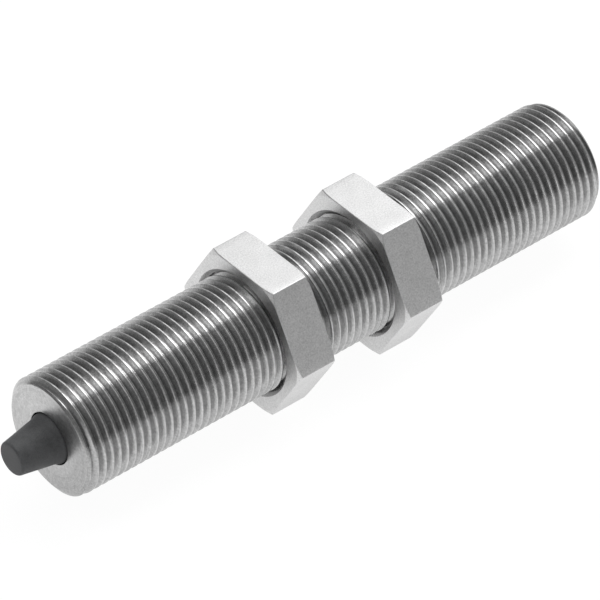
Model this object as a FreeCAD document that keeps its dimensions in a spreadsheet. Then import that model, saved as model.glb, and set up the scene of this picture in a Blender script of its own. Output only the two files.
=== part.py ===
import FreeCAD, Part
import Sketcher
import math
import os
import re
from FreeCAD import Placement, Rotation, Vector

# A compact threaded shock absorber, 14 mm thread with 1 mm pitch, in millimetres.
# The barrel lies along X. The origin is the centre of its front stop face, the striking
# tip points to -X, and two flats of each lock nut lie level, so the part rests on them.

SIZES = {
    # threaded barrel
    "barrel_length": 72.0,
    "barrel_wall": 1.4,
    "front_lead_length": 0.38,
    "front_lead_depth": 0.65,
    "rear_lead_length": 0.55,
    "rear_lead_depth": 0.6,
    "tip_bore_radius": 3.0,
    "tip_bore_edge": 0.12,
    "front_wall": 10.0,
    "mouth_edge": 0.25,
    # clearances
    "slip_gap": 0.05,
    "rod_gap": 0.02,
    "tip_gap": 0.1,
    "seal_gap": 0.1,
    "rebound_gap": 0.1,
    "oil_gap": 0.6,
    # broken edges of turned pieces
    "edge_break": 0.15,
    # striking tip
    "stroke": 5.0,
    "tip_taper": 0.65,
    "tip_round": 0.32,
    "tip_flare_depth": 0.28,
    "tip_flare_length": 0.9,
    "tip_flare_radius": 4.0,
    "tip_depth": 4.6,
    # rod
    "rod_radius": 2.0,
    "rod_neck_radius": 1.0,
    "rod_head_radius": 1.6,
    "rod_head_length": 1.0,
    "rod_neck_length": 2.2,
    "rod_shoulder": 0.5,
    "rod_thread_end": 0.5,
    # rod guide with its wiper and seal
    "seal_room": 1.8,
    "wiper_length": 1.5,
    "wiper_lip_length": 0.5,
    "seal_length": 1.9,
    "seal_groove_depth": 1.1,
    "backup_length": 0.7,
    "guide_web": 1.3,
    "guide_neck_wall": 1.4,
    "guide_collar_length": 1.6,
    "guide_pilot_length": 1.2,
    "guide_slot_width": 1.4,
    "guide_slot_count": 4,
    "foam_length": 8.2,
    # O-rings
    "oring_width": 1.0,
    "oring_corner": 0.25,
    "oring_gap": 0.025,
    "oring_groove_width": 1.4,
    "oring_groove_depth": 1.0,
    "guide_oring_place": 2.0,
    "plug_oring_place": 2.0,
    # pressure tube
    "tube_wall": 0.8,
    "orifice_radius": 0.3,
    "orifice_count": 4,
    # piston, check ring and nut
    "piston_shoulder": 2.05,
    "piston_length": 5.0,
    "piston_front_land": 2.0,
    "ring_width": 1.2,
    "ring_travel": 0.3,
    "ring_groove_depth": 0.85,
    "ring_bore_gap": 0.15,
    "ring_gap": 0.03,
    "piston_slot_width": 1.0,
    "piston_slot_count": 6,
    "piston_nut_height": 2.0,
    "piston_nut_wall": 1.0,
    # return spring
    "spring_wire": 0.6,
    "spring_turns": 9,
    "spring_gap": 0.45,
    "spring_close_gap": 0.03,
    "spring_seat_gap": 0.15,
    "spring_seat_bore": 1.2,
    "spring_seat_thickness": 0.6,
    # rear plug
    "plug_recess": 1.7,
    "plug_length": 10.3,
    "plug_pilot_length": 2.0,
    "socket_flats": 6.0,
    "socket_depth": 4.5,
    "socket_mouth_depth": 0.35,
    "fill_bore_radius": 1.25,
    "fill_bore_depth": 4.6,
    "fill_hole_radius": 0.6,
    "fill_ball_radius": 1.1,
    "fill_ball_gap": 0.025,
    "fill_screw_length": 2.3,
    "fill_socket_flats": 1.3,
    "fill_socket_depth": 1.1,
    # snap ring
    "snap_ring_thickness": 0.7,
    "snap_ring_bite": 0.35,
    "snap_ring_width": 0.95,
    "snap_ring_opening": 3.0,
    "snap_lug_radius": 1.1,
    "snap_lug_hole_radius": 0.5,
    # lock nuts
    "nut_wall": 1.6,
    "nut_height": 5.0,
    "nut_face_margin": 0.6,
    "nut_chamfer_depth": 0.42,
    "nut_mouth_rise": 0.7,
    "nut_mouth_depth": 0.4,
    "front_nut_place": 26.1,
    "rear_nut_place": 41.3,
}

doc = FreeCAD.newDocument("ShockAbsorber")
sheet = doc.addObject("Spreadsheet::Sheet", "Sizes")
for row, (alias, value) in enumerate(SIZES.items(), start=1):
    sheet.set(f"A{row}", alias)
    sheet.set(f"B{row}", str(value))
    sheet.setAlias(f"B{row}", alias)
doc.recompute()

# Radii, from the rod outwards: each piece adds its wall and its gap to what it goes round,
# and the barrel's wall ends at the 14 mm thread.
ROD_BORE = "(rod_radius + rod_gap)"
SEAL_POCKET = "(rod_radius + seal_room)"
GUIDE_NECK = "(rod_radius + guide_neck_wall)"
PISTON_RADIUS = "(rod_radius + piston_shoulder)"
TUBE_BORE = f"({PISTON_RADIUS} + slip_gap)"
TUBE_RADIUS = f"({TUBE_BORE} + tube_wall)"
MAIN_BORE = f"({TUBE_RADIUS} + oil_gap)"
INSERT_RADIUS = f"({MAIN_BORE} - slip_gap)"
GROOVE_FLOOR = f"({INSERT_RADIUS} - oring_groove_depth)"
THREAD_RADIUS = f"({MAIN_BORE} + barrel_wall)"
NUT_FLATS = f"(2 * ({THREAD_RADIUS} + nut_wall))"

# Places along X, from the stop face to the rear.
POCKET_DEPTH = "(2 * seal_gap + wiper_length + seal_length + backup_length)"
FLANGE_LENGTH = f"({POCKET_DEPTH} + guide_web)"
NECK_LENGTH = "(foam_length + 2 * seal_gap)"
GUIDE_SHANK = f"({FLANGE_LENGTH} + {NECK_LENGTH} + guide_collar_length)"
TUBE_PLACE = f"(front_wall + {GUIDE_SHANK})"
PISTON_PLACE = f"({TUBE_PLACE} + guide_pilot_length + rebound_gap)"
PISTON_REAR = f"({PISTON_PLACE} + piston_length)"
RING_GROOVE = "(ring_width + ring_travel + 2 * slip_gap)"
PLUG_REAR = "(barrel_length - plug_recess)"
PLUG_FRONT = f"({PLUG_REAR} - plug_length)"
PILOT_FRONT = f"({PLUG_FRONT} - plug_pilot_length)"
SEAT_FRONT = f"({PILOT_FRONT} - spring_seat_thickness)"
FILL_FLOOR = f"({PLUG_REAR} - socket_depth - fill_bore_depth)"


def formula(text):
    """The same formula with each size's name pointing at the sheet."""
    return re.sub(r"[a-z][a-z_]*\b(?!\()", lambda found: "Sizes." + found.group(0), text)


def number(text):
    """A formula's value in millimetres."""
    return float(sheet.evalExpression(formula(text)))


def new_body(name, place="0"):
    """An empty body whose own origin stands at a place along X."""
    body = doc.addObject("PartDesign::Body", name)
    body.Label = name
    body.setExpression("Placement.Base.x", formula(place))
    return body


def empty_sketch(body, plane, name):
    """A sketch on one of the body's own origin planes."""
    sketch = body.newObject("Sketcher::SketchObject", name)
    support = [feature for feature in body.Origin.OriginFeatures if feature.Role == plane][0]
    sketch.AttachmentSupport = [(support, "")]
    sketch.MapMode = "FlatFace"
    return sketch


def pin_point(sketch, index, end, across, up):
    """Ties one end of a line or arc to the sketch's origin by two formulas."""
    for kind, axis, text in (("DistanceX", -2, across), ("DistanceY", -1, up)):
        if text == "0":
            sketch.addConstraint(Sketcher.Constraint("PointOnObject", index, end, axis))
        else:
            tie = Sketcher.Constraint(kind, -1, 1, index, end, number(text))
            sketch.setExpression(f"Constraints[{sketch.addConstraint(tie)}]", formula(text))


def arc_between(start, finish, radius):
    """A circular arc, which a positive radius bows to the left of the way it runs."""
    chord = finish - start
    left = Vector(-chord.y, chord.x, 0).normalize()
    depth = math.sqrt(radius**2 - (chord.Length / 2) ** 2)
    centre = (start + finish) * 0.5 - left * math.copysign(depth, radius)
    first, last = (finish, start) if radius > 0 else (start, finish)
    first_angle = math.atan2(first.y - centre.y, first.x - centre.x)
    last_angle = math.atan2(last.y - centre.y, last.x - centre.x)
    circle = Part.Circle(centre, Vector(0, 0, 1), abs(radius))
    return Part.ArcOfCircle(circle, first_angle, last_angle)


def draw_outline(sketch, points):
    """A closed outline of (across, up) formulas. A third entry makes the side that ends there
    an arc: a word gives its radius, and a minus sign bows it to the right."""
    spots = [Vector(number(point[0]), number(point[1]), 0) for point in points]
    for index, point in enumerate(points):
        start, finish = spots[index - 1], spots[index]
        if len(point) == 2:
            sketch.addGeometry(Part.LineSegment(start, finish), False)
        else:
            sketch.addGeometry(arc_between(start, finish, number(point[2])), False)
    for index, point in enumerate(points):
        after = (index + 1) % len(points)
        ends = 2 if ends_forward(sketch.Geometry[index], spots[index]) else 1
        begins = 1 if ends_forward(sketch.Geometry[after], spots[after]) else 2
        sketch.addConstraint(Sketcher.Constraint("Coincident", index, ends, after, begins))
        pin_point(sketch, index, ends, point[0], point[1])
        if len(point) == 3:
            size = point[2].lstrip("-")
            tie = Sketcher.Constraint("Radius", index, number(size))
            sketch.setExpression(f"Constraints[{sketch.addConstraint(tie)}]", formula(size))


def ends_forward(curve, spot):
    """Whether a line or arc ends, and doesn't start, at the spot."""
    return curve.EndPoint.distanceToPoint(spot) < curve.StartPoint.distanceToPoint(spot)


def turned(name, place, points):
    """A body turned about X from an outline of (distance behind its place, radius)."""
    body = new_body(name, place)
    outline = empty_sketch(body, "XZ_Plane", name + "_outline")
    draw_outline(outline, points)
    turning = body.newObject("PartDesign::Revolution", name + "_turning")
    turning.Profile = outline
    turning.ReferenceAxis = (outline, ["H_Axis"])
    turning.Angle = 360
    body.Tip = turning
    return body


def hexagon(flats):
    """Six corner points, with flats to +Z and -Z and corners to +Y and -Y."""
    corner = f"{flats} / sqrt(3)"
    half = f"{flats} / 2"
    return [
        (corner, "0"),
        (f"{corner} / 2", half),
        (f"-{corner} / 2", half),
        (f"-{corner}", "0"),
        (f"-{corner} / 2", f"-{half}"),
        (f"{corner} / 2", f"-{half}"),
    ]


def bar(name, place, points, length):
    """A body with the outline's section, straight along X."""
    body = new_body(name, place)
    outline = empty_sketch(body, "YZ_Plane", name + "_section")
    draw_outline(outline, points)
    pad = body.newObject("PartDesign::Pad", name + "_bar")
    pad.Profile = outline
    pad.setExpression("Length", formula(length))
    body.Tip = pad
    return body


def groove(body, name, points):
    """Turns an outline of (distance, radius) out of a body."""
    outline = empty_sketch(body, "XZ_Plane", name + "_outline")
    draw_outline(outline, points)
    cut = body.newObject("PartDesign::Groove", name)
    cut.Profile = outline
    cut.ReferenceAxis = (outline, ["H_Axis"])
    cut.Angle = 360
    body.Tip = cut
    return cut


def pocket(body, name, points, start, depth):
    """Cuts a section on YZ out of a body, from a distance along X and on towards +X."""
    outline = empty_sketch(body, "YZ_Plane", name + "_section")
    outline.setExpression("AttachmentOffset.Base.z", formula(start))
    draw_outline(outline, points)
    cut = body.newObject("PartDesign::Pocket", name)
    cut.Profile = outline
    cut.Reversed = True
    cut.setExpression("Length", formula(depth))
    body.Tip = cut
    return cut


def ring_pattern(body, cut, name, count):
    """Repeats a cut evenly around X."""
    pattern = body.newObject("PartDesign::PolarPattern", name)
    pattern.Originals = [cut]
    axis = [feature for feature in body.Origin.OriginFeatures if feature.Role == "X_Axis"][0]
    pattern.Axis = (axis, [""])
    pattern.Angle = 360
    pattern.Occurrences = int(number(count))
    body.Tip = pattern
    return pattern


def circle_at(sketch, across, up, radius):
    """A circle with its centre at two formulas."""
    centre = Vector(number(across), number(up), 0)
    index = sketch.addGeometry(Part.Circle(centre, Vector(0, 0, 1), number(radius)), False)
    pin_point(sketch, index, 3, across, up)
    tie = Sketcher.Constraint("Radius", index, number(radius))
    sketch.setExpression(f"Constraints[{sketch.addConstraint(tie)}]", formula(radius))


parts = []


# Threaded barrel: turned from stainless bar, with a thick front wall that is the fixed stop
# and a bore open to the rear, where everything inside is put in. The thread is left plain.
RING_SEAT = f"({MAIN_BORE} + snap_ring_bite + slip_gap)"
barrel = turned(
    "barrel",
    "0",
    [
        ("0", "tip_bore_radius + tip_bore_edge"),
        ("0", f"{THREAD_RADIUS} - front_lead_depth"),
        ("front_lead_length", THREAD_RADIUS),
        ("barrel_length - rear_lead_length", THREAD_RADIUS),
        ("barrel_length", f"{THREAD_RADIUS} - rear_lead_depth"),
        ("barrel_length", f"{MAIN_BORE} + mouth_edge"),
        ("barrel_length - mouth_edge", MAIN_BORE),
        (f"{PLUG_REAR} + snap_ring_thickness + slip_gap", MAIN_BORE),
        (f"{PLUG_REAR} + snap_ring_thickness + slip_gap", RING_SEAT),
        (f"{PLUG_REAR} - slip_gap", RING_SEAT),
        (f"{PLUG_REAR} - slip_gap", MAIN_BORE),
        ("front_wall", MAIN_BORE),
        ("front_wall", "tip_bore_radius"),
        ("tip_bore_edge", "tip_bore_radius"),
    ],
)
parts.append(barrel)


# Striking tip: a moulded rubber cone on the rod's head. It stands one stroke in front of the
# stop face and flares into a base that slides in the front bore.
TIP_BASE = "(tip_bore_radius - tip_gap)"
TIP_WAIST = f"({TIP_BASE} - tip_flare_depth)"
TIP_RADIUS = f"({TIP_WAIST} - tip_taper)"
HEAD_FRONT = "(tip_depth - rod_neck_length - rod_head_length)"
striking_tip = turned(
    "striking_tip",
    "0",
    [
        ("-stroke", "0"),
        ("-stroke", f"{TIP_RADIUS} - tip_round"),
        ("tip_round - stroke", TIP_RADIUS, "tip_round"),
        ("-tip_flare_length", TIP_WAIST),
        ("0", TIP_BASE, "-tip_flare_radius"),
        ("tip_depth", TIP_BASE),
        ("tip_depth", "rod_neck_radius + slip_gap"),
        ("tip_depth - rod_neck_length", "rod_neck_radius + slip_gap"),
        ("tip_depth - rod_neck_length", "rod_head_radius + slip_gap"),
        (f"{HEAD_FRONT} - slip_gap", "rod_head_radius + slip_gap"),
        (f"{HEAD_FRONT} - slip_gap", "0"),
    ],
)
parts.append(striking_tip)


# Piston rod: ground steel, with a mushroom head that the tip snaps over and a threaded
# spigot that carries the piston.
SPIGOT = "(rod_radius - rod_shoulder)"
SHANK_LENGTH = f"({PISTON_PLACE} - tip_depth)"
SPIGOT_END = f"({SHANK_LENGTH} + piston_length + piston_nut_height + rod_thread_end)"
piston_rod = turned(
    "piston_rod",
    "tip_depth",
    [
        ("-rod_neck_length - rod_head_length", "0"),
        ("-rod_neck_length - rod_head_length", "rod_head_radius - edge_break"),
        ("-rod_neck_length - rod_head_length + edge_break", "rod_head_radius"),
        ("-rod_neck_length - slip_gap", "rod_head_radius"),
        ("-rod_neck_length - slip_gap", "rod_neck_radius"),
        ("0", "rod_neck_radius"),
        ("0", "rod_radius - edge_break"),
        ("edge_break", "rod_radius"),
        (SHANK_LENGTH, "rod_radius"),
        (SHANK_LENGTH, SPIGOT),
        (f"{SPIGOT_END} - edge_break", SPIGOT),
        (SPIGOT_END, f"{SPIGOT} - edge_break"),
        (SPIGOT_END, "0"),
    ],
)
parts.append(piston_rod)


# Rod guide: a bronze spool. Its front flange holds the wiper and the seal, its neck carries
# the foam, and its rear collar has slots for the oil and a pilot in the pressure tube.
PILOT_RADIUS = f"({TUBE_BORE} - slip_gap)"
rod_guide = turned(
    "rod_guide",
    "front_wall",
    [
        ("0", SEAL_POCKET),
        ("0", f"{INSERT_RADIUS} - edge_break"),
        ("edge_break", INSERT_RADIUS),
        ("guide_oring_place", INSERT_RADIUS),
        ("guide_oring_place", GROOVE_FLOOR),
        ("guide_oring_place + oring_groove_width", GROOVE_FLOOR),
        ("guide_oring_place + oring_groove_width", INSERT_RADIUS),
        (FLANGE_LENGTH, INSERT_RADIUS),
        (FLANGE_LENGTH, GUIDE_NECK),
        (f"{FLANGE_LENGTH} + {NECK_LENGTH}", GUIDE_NECK),
        (f"{FLANGE_LENGTH} + {NECK_LENGTH}", TUBE_RADIUS),
        (GUIDE_SHANK, TUBE_RADIUS),
        (GUIDE_SHANK, PILOT_RADIUS),
        (f"{GUIDE_SHANK} + guide_pilot_length - edge_break", PILOT_RADIUS),
        (f"{GUIDE_SHANK} + guide_pilot_length", f"{PILOT_RADIUS} - edge_break"),
        (f"{GUIDE_SHANK} + guide_pilot_length", ROD_BORE),
        (POCKET_DEPTH, ROD_BORE),
        (POCKET_DEPTH, SEAL_POCKET),
    ],
)
oil_slot = pocket(
    rod_guide,
    "guide_slot",
    [
        ("-guide_slot_width / 2", GUIDE_NECK),
        ("guide_slot_width / 2", GUIDE_NECK),
        ("guide_slot_width / 2", MAIN_BORE),
        ("-guide_slot_width / 2", MAIN_BORE),
    ],
    f"{FLANGE_LENGTH} + {NECK_LENGTH}",
    "guide_collar_length",
)
ring_pattern(rod_guide, oil_slot, "guide_slots", "guide_slot_count")
parts.append(rod_guide)


# Wiper, rod seal and back-up ring: pressed into the guide's pocket, held by the front wall.
WIPER_PLACE = "(front_wall + seal_gap)"
SEAL_PLACE = f"({WIPER_PLACE} + wiper_length + seal_gap)"
BACKUP_PLACE = f"({SEAL_PLACE} + seal_length)"
POCKET_FIT = f"({SEAL_POCKET} - slip_gap)"
SEAL_MIDDLE = f"(({POCKET_FIT} + {ROD_BORE}) / 2)"
rod_wiper = turned(
    "rod_wiper",
    WIPER_PLACE,
    [
        ("wiper_lip_length", POCKET_FIT),
        ("wiper_length", POCKET_FIT),
        ("wiper_length", f"{ROD_BORE} + seal_gap"),
        ("wiper_lip_length", f"{ROD_BORE} + seal_gap"),
        ("0", ROD_BORE),
        ("0", f"{ROD_BORE} + wiper_lip_length"),
    ],
)
rod_seal = turned(
    "rod_seal",
    SEAL_PLACE,
    [
        ("0", ROD_BORE),
        ("0", f"{SEAL_MIDDLE} - seal_gap"),
        ("seal_groove_depth", SEAL_MIDDLE),
        ("0", f"{SEAL_MIDDLE} + seal_gap"),
        ("0", POCKET_FIT),
        ("seal_length", POCKET_FIT),
        ("seal_length", ROD_BORE),
    ],
)
backup_ring = turned(
    "backup_ring",
    BACKUP_PLACE,
    [
        ("0", ROD_BORE),
        ("0", POCKET_FIT),
        ("backup_length", POCKET_FIT),
        ("backup_length", ROD_BORE),
    ],
)
parts += [rod_wiper, rod_seal, backup_ring]


# Accumulator foam: closed-cell foam round the guide's neck, which gives way by the volume of
# the rod as it goes in.
accumulator_foam = turned(
    "accumulator_foam",
    f"front_wall + {FLANGE_LENGTH} + seal_gap",
    [
        ("0", f"{GUIDE_NECK} + slip_gap"),
        ("0", f"{MAIN_BORE} - seal_gap"),
        ("foam_length", f"{MAIN_BORE} - seal_gap"),
        ("foam_length", f"{GUIDE_NECK} + slip_gap"),
    ],
)
parts.append(accumulator_foam)


def oring(name, place):
    """A rubber ring as it sits, squeezed between its groove and the barrel."""
    inner = f"({GROOVE_FLOOR} + oring_gap)"
    outer = f"({MAIN_BORE} - oring_gap)"
    return turned(
        name,
        f"{place} + (oring_groove_width - oring_width) / 2",
        [
            ("0", f"{inner} + oring_corner"),
            ("0", f"{outer} - oring_corner"),
            ("oring_corner", outer),
            ("oring_width - oring_corner", outer),
            ("oring_width", f"{outer} - oring_corner"),
            ("oring_width", f"{inner} + oring_corner"),
            ("oring_width - oring_corner", inner),
            ("oring_corner", inner),
        ],
    )


parts.append(oring("guide_oring", "front_wall + guide_oring_place"))
parts.append(oring("plug_oring", f"{PLUG_FRONT} + plug_oring_place"))


# Pressure tube: hardened steel, clamped between the guide and the plug. The piston covers
# its orifices one after another, closer together towards the end of the stroke.
TUBE_LENGTH = f"({PLUG_FRONT} - {TUBE_PLACE})"
pressure_tube = turned(
    "pressure_tube",
    TUBE_PLACE,
    [
        ("0", TUBE_BORE),
        ("0", f"{TUBE_RADIUS} - edge_break"),
        ("edge_break", TUBE_RADIUS),
        (f"{TUBE_LENGTH} - edge_break", TUBE_RADIUS),
        (TUBE_LENGTH, f"{TUBE_RADIUS} - edge_break"),
        (TUBE_LENGTH, TUBE_BORE),
    ],
)
orifices = empty_sketch(pressure_tube, "XY_Plane", "orifice_row")
count = int(number("orifice_count"))
for step in range(count):
    share = 1 - (1 - step / count) ** 2
    first = f"{PISTON_REAR} - {TUBE_PLACE} + 2 * orifice_radius"
    circle_at(orifices, f"{first} + stroke * {share}", "0", "orifice_radius")
drilling = pressure_tube.newObject("PartDesign::Pocket", "orifices")
drilling.Profile = orifices
drilling.Reversed = True
drilling.setExpression("Length", formula(f"{TUBE_RADIUS} + slip_gap"))
pressure_tube.Tip = drilling
parts.append(pressure_tube)


# Piston: steel, with a wide groove for the check ring and oil slots behind it, which the
# ring shuts as the rod goes in and opens as it comes out.
RING_FLOOR = f"({PISTON_RADIUS} - ring_groove_depth)"
PISTON_HOLE = f"({SPIGOT} + rod_gap)"
piston = turned(
    "piston",
    PISTON_PLACE,
    [
        ("0", PISTON_HOLE),
        ("0", f"{PISTON_RADIUS} - edge_break"),
        ("edge_break", PISTON_RADIUS),
        ("piston_front_land", PISTON_RADIUS),
        ("piston_front_land", RING_FLOOR),
        (f"piston_front_land + {RING_GROOVE}", RING_FLOOR),
        (f"piston_front_land + {RING_GROOVE}", PISTON_RADIUS),
        ("piston_length - edge_break", PISTON_RADIUS),
        ("piston_length", f"{PISTON_RADIUS} - edge_break"),
        ("piston_length", PISTON_HOLE),
    ],
)
piston_slot = pocket(
    piston,
    "piston_slot",
    [
        ("-piston_slot_width / 2", RING_FLOOR),
        ("piston_slot_width / 2", RING_FLOOR),
        ("piston_slot_width / 2", TUBE_BORE),
        ("-piston_slot_width / 2", TUBE_BORE),
    ],
    f"piston_front_land + {RING_GROOVE}",
    f"piston_length - piston_front_land - {RING_GROOVE}",
)
ring_pattern(piston, piston_slot, "piston_slots", "piston_slot_count")
parts.append(piston)


# Check ring: floats in the piston's groove by its travel and seals on the pressure tube.
check_ring = turned(
    "check_ring",
    f"{PISTON_PLACE} + piston_front_land + slip_gap",
    [
        ("0", f"{RING_FLOOR} + ring_bore_gap"),
        ("0", f"{TUBE_BORE} - ring_gap"),
        ("ring_width", f"{TUBE_BORE} - ring_gap"),
        ("ring_width", f"{RING_FLOOR} + ring_bore_gap"),
    ],
)
parts.append(check_ring)


# Piston nut: a small hexagon nut on the rod's spigot.
SMALL_FLATS = f"(2 * ({SPIGOT} + piston_nut_wall))"
piston_nut = bar("piston_nut", PISTON_REAR, hexagon(SMALL_FLATS), "piston_nut_height")
groove(
    piston_nut,
    "piston_nut_bore",
    [
        ("-slip_gap", "0"),
        ("-slip_gap", PISTON_HOLE),
        ("piston_nut_height + slip_gap", PISTON_HOLE),
        ("piston_nut_height + slip_gap", "0"),
    ],
)
parts.append(piston_nut)


def return_coil():
    """The wire of the return spring, swept along its coil with flat-sided turns. The end
    turns lie close, as on a spring with closed ends."""
    steps = 16
    sides = 6
    turns = int(number("spring_turns"))
    wire = number("spring_wire / 2")
    radius = number(f"{TUBE_BORE} - spring_gap - spring_wire / 2")
    length = number(f"{SEAT_FRONT} - {PISTON_REAR} - 2 * slip_gap - spring_wire")
    close = number("spring_wire + spring_close_gap")
    spread = (length - 2 * close) / (turns - 2)
    path = []
    for step in range(turns * steps + 1):
        turn = step / steps
        angle = 2 * math.pi * turn
        open_turns = min(max(turn - 1, 0), turns - 2)
        along = open_turns * spread + (turn - open_turns) * close
        path.append(Vector(wire + along, radius * math.cos(angle), radius * math.sin(angle)))
    start = path[1] - path[0]
    across = Vector(1, 0, 0).cross(start).normalize()
    up = start.cross(across).normalize()
    corners = []
    for side in range(sides + 1):
        angle = 2 * math.pi * side / sides
        corners.append(path[0] + across * wire * math.cos(angle) + up * wire * math.sin(angle))
    right_corner = 1
    section = Part.makePolygon(corners)
    return Part.makePolygon(path).makePipeShell([section], True, False, right_corner)


# Return spring: wound from steel wire, between the piston and its seat on the plug. It pushes
# the rod out again after each stroke.
return_spring = doc.addObject("Part::Feature", "return_spring")
return_spring.Label = "return_spring"
return_spring.Shape = return_coil()
return_spring.Placement = Placement(Vector(number(f"{PISTON_REAR} + slip_gap"), 0, 0), Rotation())
parts.append(return_spring)


# Spring seat: a hardened washer on the front of the plug.
spring_seat = turned(
    "spring_seat",
    SEAT_FRONT,
    [
        ("0", "spring_seat_bore"),
        ("0", f"{TUBE_BORE} - spring_seat_gap - edge_break"),
        ("edge_break", f"{TUBE_BORE} - spring_seat_gap"),
        ("spring_seat_thickness", f"{TUBE_BORE} - spring_seat_gap"),
        ("spring_seat_thickness", "spring_seat_bore"),
    ],
)
parts.append(spring_seat)


# Rear plug: closes the pressure tube and the barrel. A hexagon socket at the rear holds the
# unit while its nuts are tightened, and the filling bore opens in the socket's floor.
PLUG_WHOLE = "(plug_length + plug_pilot_length)"
SOCKET_FLOOR = f"({PLUG_WHOLE} - socket_depth)"
FILL_START = f"({SOCKET_FLOOR} - fill_bore_depth)"
PLUG_GROOVE = "(plug_pilot_length + plug_oring_place)"
rear_plug = turned(
    "rear_plug",
    PILOT_FRONT,
    [
        ("0", "fill_hole_radius"),
        ("0", f"{PILOT_RADIUS} - edge_break"),
        ("edge_break", PILOT_RADIUS),
        ("plug_pilot_length", PILOT_RADIUS),
        ("plug_pilot_length", f"{INSERT_RADIUS} - edge_break"),
        ("plug_pilot_length + edge_break", INSERT_RADIUS),
        (PLUG_GROOVE, INSERT_RADIUS),
        (PLUG_GROOVE, GROOVE_FLOOR),
        (f"{PLUG_GROOVE} + oring_groove_width", GROOVE_FLOOR),
        (f"{PLUG_GROOVE} + oring_groove_width", INSERT_RADIUS),
        (f"{PLUG_WHOLE} - edge_break", INSERT_RADIUS),
        (PLUG_WHOLE, f"{INSERT_RADIUS} - edge_break"),
        (PLUG_WHOLE, "fill_bore_radius"),
        (FILL_START, "fill_bore_radius"),
        (FILL_START, "fill_hole_radius"),
    ],
)
pocket(rear_plug, "rear_socket", hexagon("socket_flats"), SOCKET_FLOOR, "socket_depth")
groove(
    rear_plug,
    "socket_mouth",
    [
        (f"{PLUG_WHOLE} - socket_mouth_depth", "0"),
        (f"{PLUG_WHOLE} - socket_mouth_depth", "socket_flats / 2"),
        (PLUG_WHOLE, "socket_flats / sqrt(3) + edge_break"),
        (PLUG_WHOLE, "0"),
    ],
)
parts.append(rear_plug)


# Filling ball and screw: the ball seats on the edge of the filling hole and the screw,
# driven through the socket, holds it there.
BALL_STAND = "sqrt(fill_ball_radius ^ 2 - fill_hole_radius ^ 2) + fill_ball_gap"
fill_ball = doc.addObject("Part::Sphere", "fill_ball")
fill_ball.Label = "fill_ball"
fill_ball.setExpression("Radius", formula("fill_ball_radius"))
fill_ball.setExpression("Placement.Base.x", formula(f"{FILL_FLOOR} + {BALL_STAND}"))
parts.append(fill_ball)

SCREW_RADIUS = "(fill_bore_radius - 2 * slip_gap)"
fill_screw = turned(
    "fill_screw",
    f"{FILL_FLOOR} + {BALL_STAND} + fill_ball_radius + slip_gap",
    [
        ("0", "0"),
        ("0", f"{SCREW_RADIUS} - edge_break"),
        ("edge_break", SCREW_RADIUS),
        ("fill_screw_length - edge_break", SCREW_RADIUS),
        ("fill_screw_length", f"{SCREW_RADIUS} - edge_break"),
        ("fill_screw_length", "0"),
    ],
)
pocket(
    fill_screw,
    "fill_screw_socket",
    hexagon("fill_socket_flats"),
    "fill_screw_length - fill_socket_depth",
    "fill_socket_depth",
)
parts.append(fill_screw)


# Snap ring: spring steel, sprung into the barrel's groove behind the plug, with an opening
# between two lugs that have holes for the pliers.
RING_OUTSIDE = f"({MAIN_BORE} + snap_ring_bite)"
snap_ring = turned(
    "snap_ring",
    PLUG_REAR,
    [
        ("0", f"{RING_OUTSIDE} - snap_ring_width"),
        ("0", RING_OUTSIDE),
        ("snap_ring_thickness", RING_OUTSIDE),
        ("snap_ring_thickness", f"{RING_OUTSIDE} - snap_ring_width"),
    ],
)
pocket(
    snap_ring,
    "snap_ring_cut",
    [
        ("-snap_ring_opening / 2", "0"),
        ("snap_ring_opening / 2", "0"),
        ("snap_ring_opening / 2", RING_SEAT),
        ("-snap_ring_opening / 2", RING_SEAT),
    ],
    "0",
    "snap_ring_thickness",
)
LUG_ACROSS = "(snap_ring_opening / 2 + snap_lug_radius)"
LUG_UP = f"sqrt(({RING_OUTSIDE} - snap_lug_radius) ^ 2 - {LUG_ACROSS} ^ 2)"
lugs = empty_sketch(snap_ring, "YZ_Plane", "lug_outlines")
lug_holes = empty_sketch(snap_ring, "YZ_Plane", "lug_hole_outlines")
for side in ("", "-"):
    circle_at(lugs, side + LUG_ACROSS, LUG_UP, "snap_lug_radius")
    circle_at(lug_holes, side + LUG_ACROSS, LUG_UP, "snap_lug_hole_radius")
lug_pads = snap_ring.newObject("PartDesign::Pad", "lugs")
lug_pads.Profile = lugs
lug_pads.setExpression("Length", formula("snap_ring_thickness"))
snap_ring.Tip = lug_pads
lug_drilling = snap_ring.newObject("PartDesign::Pocket", "lug_holes")
lug_drilling.Profile = lug_holes
lug_drilling.Reversed = True
lug_drilling.setExpression("Length", formula("snap_ring_thickness"))
snap_ring.Tip = lug_drilling
parts.append(snap_ring)


def lock_nut(name, place):
    """A low hexagon nut for the barrel's thread, chamfered on both faces, with a bore that
    is countersunk at both ends and left plain."""
    nut = bar(name, place, hexagon(NUT_FLATS), "nut_height")
    corner = f"{NUT_FLATS} / sqrt(3)"
    face = f"({NUT_FLATS} / 2 + nut_face_margin)"
    reach = f"({corner} - {face} + slip_gap) * nut_chamfer_depth / ({corner} - {face})"
    mouth = f"({THREAD_RADIUS} + nut_mouth_rise)"
    groove(
        nut,
        name + "_front_chamfer",
        [
            ("0", face),
            (reach, f"{corner} + slip_gap"),
            ("0", f"{corner} + slip_gap"),
        ],
    )
    groove(
        nut,
        name + "_rear_chamfer",
        [
            ("nut_height", face),
            ("nut_height", f"{corner} + slip_gap"),
            (f"nut_height - {reach}", f"{corner} + slip_gap"),
        ],
    )
    groove(
        nut,
        name + "_bore",
        [
            ("0", "0"),
            ("0", mouth),
            ("nut_mouth_depth", f"{THREAD_RADIUS} + slip_gap"),
            ("nut_height - nut_mouth_depth", f"{THREAD_RADIUS} + slip_gap"),
            ("nut_height", mouth),
            ("nut_height", "0"),
        ],
    )
    return nut


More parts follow.
